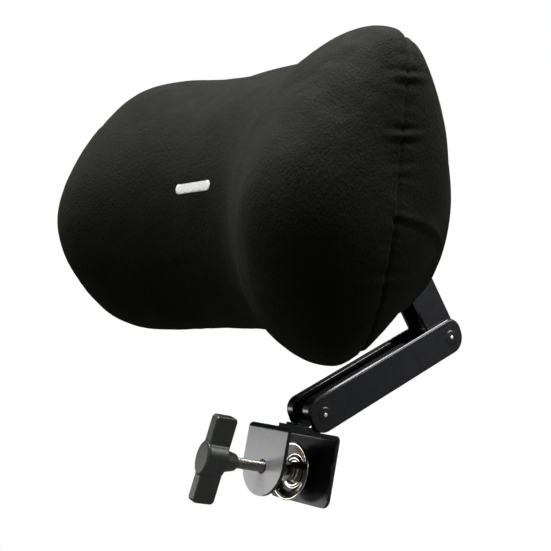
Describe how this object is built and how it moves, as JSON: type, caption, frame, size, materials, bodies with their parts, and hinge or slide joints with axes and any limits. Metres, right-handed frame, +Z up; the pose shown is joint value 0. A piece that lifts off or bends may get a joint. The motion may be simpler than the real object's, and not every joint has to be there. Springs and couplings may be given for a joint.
{
  "type": "chair headrest attachment",
  "caption": "Saddle-shaped fabric pillow on a folding two-piece steel arm, held to the top of a chair back by a screw clamp with a T handle and a swivelling disc.",
  "frame": {"origin": "on the inner face of the clamp's back plate, in its middle across the chair, level with the clamp screw", "axes": "+X to the side, +Y to the back of the chair, +Z up; the pillow's front faces -Y and the clamp screw runs along Y"},
  "size_m": [0.276, 0.2273, 0.2435],
  "materials": {
    "frame_black": "satin black powder coat",
    "zinc_steel": "zinc plated",
    "handle_plastic": "moulded, lightly textured",
    "chrome_steel": "polished",
    "rubber_black": "matt",
    "nylon_black": "matt",
    "cover_fabric": "smooth elastic knit",
    "foam": "open-cell foam",
    "board_ply": "plain plywood",
    "zip_metal": "black enamel"
  },
  "bodies": {
    "clamp": {"clamp_frame": "frame_black", "clamp_nut": "zinc_steel", "base_knuckle": "frame_black", "knuckle_rivets": "frame_black", "base_sleeve": "zinc_steel"},
    "arm": {"arm_shell_right": "frame_black", "arm_shell_left": "frame_black", "base_pin": "zinc_steel", "base_washers": "nylon_black", "elbow_pin": "zinc_steel", "elbow_washers": "nylon_black"},
    "link": {"upper_link": "frame_black", "elbow_sleeve": "zinc_steel", "head_sleeve": "zinc_steel"},
    "headrest": {"pillow_bracket": "frame_black", "head_pin": "zinc_steel", "head_washers": "nylon_black", "bracket_bolts": "zinc_steel", "tee_nuts": "zinc_steel", "back_board": "board_ply", "foam_core": "foam", "cover_front": "cover_fabric", "cover_back": "cover_fabric", "zipper_tape": "cover_fabric", "zipper_teeth": "nylon_black"},
    "zip_slider": {"zipper_slider": "zip_metal"},
    "zip_pull": {"zipper_pull": "zip_metal"},
    "foot": {"thrust_washer": "zinc_steel"},
    "screw": {"clamp_screw": "zinc_steel", "t_handle": "handle_plastic"},
    "disc": {"pressure_disc": "chrome_steel", "disc_socket": "chrome_steel", "disc_pad": "rubber_black"}
  },
  "joints": [
    {"name": "base_pivot", "type": "hinge", "parent": "clamp", "child": "arm", "pos_m": [0, 0.0013, 0.0335], "axis": [1, 0, 0], "range_deg": [-33, 20]},
    {"name": "elbow_pivot", "type": "hinge", "parent": "arm", "child": "link", "pos_m": [0, 0.08845, 0.09384], "axis": [1, 0, 0], "range_deg": [-90, 5]},
    {"name": "head_pivot", "type": "hinge", "parent": "link", "child": "headrest", "pos_m": [0, 0.02056, 0.16173], "axis": [1, 0, 0], "range_deg": [-25, 15]},
    {"name": "foot_slide", "type": "slide", "parent": "clamp", "child": "foot", "axis": [0, 1, 0], "range_m": [-0.009, 0.0024]},
    {"name": "screw_turn", "type": "hinge", "parent": "foot", "child": "screw", "pos_m": [0, 0, 0], "axis": [0, 1, 0], "range_deg": [-3258, 882]},
    {"name": "disc_tilt", "type": "hinge", "parent": "foot", "child": "disc", "pos_m": [0, -0.008, 0], "axis": [1, 0, 0], "range_deg": [-5, 5]},
    {"name": "zip_slide", "type": "slide", "parent": "headrest", "child": "zip_slider", "axis": [1, 0, 0], "range_m": [0, 0.098]},
    {"name": "zip_pull_flip", "type": "hinge", "parent": "zip_slider", "child": "zip_pull", "pos_m": [-0.049, 0.00755, 0.12543], "axis": [0, -0.0698, 0.9976], "range_deg": [0, 170]}
  ],
  "couplings": [
    {"joint": "screw_turn", "follows": "foot_slide", "rad_per_m": 6283.2}
  ]
}
